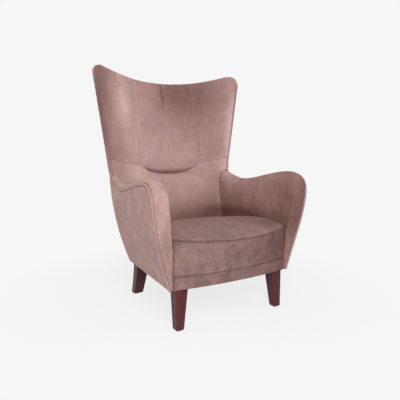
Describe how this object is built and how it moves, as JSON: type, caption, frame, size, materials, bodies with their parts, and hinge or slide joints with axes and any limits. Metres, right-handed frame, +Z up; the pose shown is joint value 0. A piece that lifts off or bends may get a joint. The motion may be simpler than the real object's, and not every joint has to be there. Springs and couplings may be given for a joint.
{
  "type": "wing-back armchair",
  "caption": "Wing-back lounge armchair with a tall flared back, sculpted arms, a tight sprung seat with a bowed front, and tapered wooden legs, covered in velvet.",
  "frame": {"origin": "on the floor, under the middle of the chair's overall box", "axes": "+Z up, the chair faces -Y, +X to the right of someone looking at its front"},
  "size_m": [0.8036, 0.8, 1.1032],
  "materials": {
    "velvet": "soft dusty-rose velvet with a mottled nap",
    "welt": "velvet-covered cord",
    "stained_wood": "satin dark reddish stain",
    "frame_wood": "raw planed timber",
    "steel": "plain wire and zinc-plated fasteners",
    "clip_plastic": "matt moulded plastic",
    "glide_plastic": "matt dark plastic",
    "webbing": "woven elastic webbing",
    "lining": "plain dark lining cloth"
  },
  "bodies": {
    "root": {"back_strap_1": "webbing", "back_strap_2": "webbing", "back_strap_3": "webbing", "corner_blocks": "frame_wood", "dust_cover": "lining", "floor_glides": "glide_plastic", "front_apron": "velvet", "front_left_leg": "stained_wood", "front_rail": "frame_wood", "front_right_leg": "stained_wood", "left_arm_pad": "velvet", "left_arm_post": "frame_wood", "left_arm_rail": "frame_wood", "left_back_post": "frame_wood", "left_long_welt": "welt", "left_outer_arm_panel": "velvet", "left_side_rail": "frame_wood", "left_wing_board": "frame_wood", "leg_bolts": "steel", "leg_nuts": "steel", "lower_back_rail": "frame_wood", "lumbar_pad": "velvet", "middle_back_rail": "frame_wood", "outer_back_panel": "velvet", "rear_left_leg": "stained_wood", "rear_rail": "frame_wood", "rear_right_leg": "stained_wood", "right_arm_pad": "velvet", "right_arm_post": "frame_wood", "right_arm_rail": "frame_wood", "right_back_post": "frame_wood", "right_long_welt": "welt", "right_outer_arm_panel": "velvet", "right_side_rail": "frame_wood", "right_wing_board": "frame_wood", "seat_cushion": "velvet", "seat_front_panel": "velvet", "seat_platform": "lining", "seat_spring_1": "steel", "seat_spring_2": "steel", "seat_spring_3": "steel", "seat_spring_4": "steel", "seat_spring_5": "steel", "seat_welt": "welt", "spring_clips": "clip_plastic", "top_back_rail": "frame_wood", "upper_back_pad": "velvet"}
  },
  "joints": []
}
